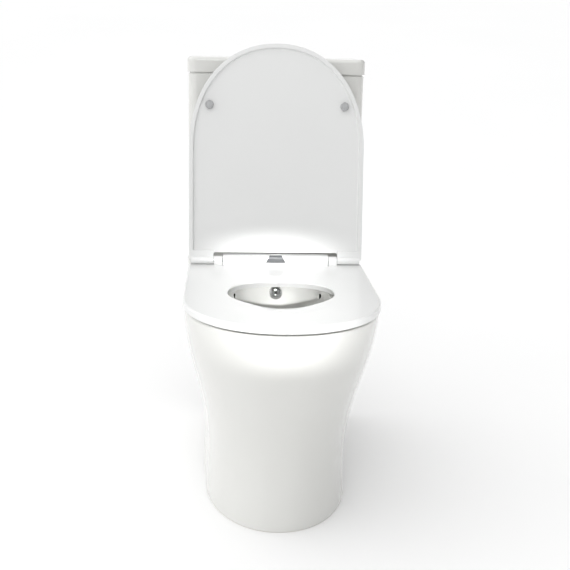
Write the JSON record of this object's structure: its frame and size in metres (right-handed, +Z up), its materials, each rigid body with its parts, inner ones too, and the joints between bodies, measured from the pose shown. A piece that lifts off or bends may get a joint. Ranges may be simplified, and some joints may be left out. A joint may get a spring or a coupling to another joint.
{
  "type": "close coupled toilet",
  "caption": "Close coupled washdown toilet with a tapered back-to-wall pan, lift-off cistern lid, push-button flush, soft-close seat and cover and a built-in spray.",
  "frame": {"origin": "on the floor under the middle of the bounding box", "axes": "+Z up, -Y towards the person facing the toilet, +X to that person's right"},
  "size_m": [0.366, 0.665, 0.866],
  "materials": {
    "vitreous_china": "white glaze",
    "seat_plastic": "white, satin gloss",
    "grey_plastic": "moulded grey",
    "grey_rubber": "soft grey",
    "black_rubber": "moulded",
    "red_seal": "silicone",
    "black_foam": "closed cell foam",
    "chrome": "polished",
    "steel": "zinc plated",
    "brass": "turned",
    "valve_white": "moulded",
    "valve_blue": "moulded"
  },
  "bodies": {
    "pan_assembly": {"pan": "vitreous_china", "cistern": "vitreous_china", "coupling_gasket": "black_foam", "coupling_bolts": "steel", "coupling_rubber_washers": "black_rubber", "coupling_steel_washers": "steel", "coupling_wing_nuts": "brass", "flush_valve_body": "valve_white", "flush_valve_head": "valve_blue", "flush_valve_washer": "black_rubber", "flush_valve_nut": "valve_white", "fill_valve_body": "valve_white", "fill_valve_washer": "black_rubber", "fill_valve_nut": "valve_white", "fill_lever_pin": "steel", "hinge_bar": "seat_plastic", "hinge_pins": "steel", "soft_close_dampers": "grey_plastic", "hinge_studs": "steel", "hinge_cone_washers": "black_rubber", "hinge_nuts": "valve_white", "spray_nozzle": "chrome", "spray_gasket": "black_rubber", "spray_nut": "brass", "spray_pipe": "steel", "spray_inlet": "brass", "floor_brackets": "steel", "side_screws": "steel", "screw_caps": "seat_plastic"},
    "lid": {"cistern_lid": "vitreous_china", "button_bezel": "chrome", "button_bezel_nut": "valve_white"},
    "full_button": {"full_flush_button": "chrome", "full_flush_rod": "valve_white"},
    "half_button": {"half_flush_button": "chrome", "half_flush_rod": "valve_white"},
    "full_plunger": {"full_flush_plunger": "valve_blue"},
    "half_plunger": {"half_flush_plunger": "valve_blue"},
    "flush_lifter": {"overflow_tube": "valve_white", "flush_seal": "red_seal"},
    "flush_float": {"half_flush_float": "valve_blue"},
    "filler_float": {"fill_float": "valve_blue"},
    "filler_lever": {"fill_valve_lever": "valve_blue"},
    "seat": {"seat_ring": "seat_plastic", "seat_buffers": "grey_rubber"},
    "cover": {"seat_cover": "seat_plastic", "cover_bumpers": "grey_rubber"},
    "release": {"release_button": "grey_plastic"}
  },
  "joints": [
    {"name": "cover_hinge", "type": "hinge", "parent": "pan_assembly", "child": "cover", "pos_m": [0, 0.098, 0.434], "axis": [1, 0, 0], "range_deg": [0, 98.5]},
    {"name": "seat_hinge", "type": "hinge", "parent": "pan_assembly", "child": "seat", "pos_m": [0, 0.098, 0.434], "axis": [1, 0, 0], "range_deg": [-95, 0]},
    {"name": "lid_lift", "type": "slide", "parent": "pan_assembly", "child": "lid", "axis": [0, 0, 1], "range_m": [0, 0.06]},
    {"name": "full_flush_press", "type": "slide", "parent": "lid", "child": "full_button", "axis": [0, 0, -1], "range_m": [0, 0.008], "stiffness_N_per_m": 300, "springref_m": -0.003},
    {"name": "half_flush_press", "type": "slide", "parent": "lid", "child": "half_button", "axis": [0, 0, -1], "range_m": [0, 0.008], "stiffness_N_per_m": 300, "springref_m": -0.003},
    {"name": "full_plunger_travel", "type": "slide", "parent": "pan_assembly", "child": "full_plunger", "axis": [0, 0, -1], "range_m": [0, 0.008]},
    {"name": "half_plunger_travel", "type": "slide", "parent": "pan_assembly", "child": "half_plunger", "axis": [0, 0, -1], "range_m": [0, 0.008]},
    {"name": "flush_seal_lift", "type": "slide", "parent": "pan_assembly", "child": "flush_lifter", "axis": [0, 0, 1], "range_m": [0, 0.008]},
    {"name": "half_flush_float_rise", "type": "slide", "parent": "pan_assembly", "child": "flush_float", "axis": [0, 0, 1], "range_m": [0, 0.03]},
    {"name": "fill_float_rise", "type": "slide", "parent": "pan_assembly", "child": "filler_float", "axis": [0, 0, 1], "range_m": [0, 0.02]},
    {"name": "fill_lever_turn", "type": "hinge", "parent": "pan_assembly", "child": "filler_lever", "pos_m": [-0.111, 0.27, 0.722], "axis": [0, 1, 0], "range_deg": [0, 35]},
    {"name": "release_press", "type": "slide", "parent": "pan_assembly", "child": "release", "axis": [0, 1, 0], "range_m": [0, 0.003], "stiffness_N_per_m": 400, "springref_m": -0.001}
  ],
  "couplings": [
    {"joint": "full_plunger_travel", "follows": "full_flush_press", "ratio": 1},
    {"joint": "half_plunger_travel", "follows": "half_flush_press", "ratio": 1},
    {"joint": "flush_seal_lift", "follows": "full_flush_press", "ratio": 1},
    {"joint": "fill_lever_turn", "follows": "fill_float_rise", "rad_per_m": 30.303}
  ]
}
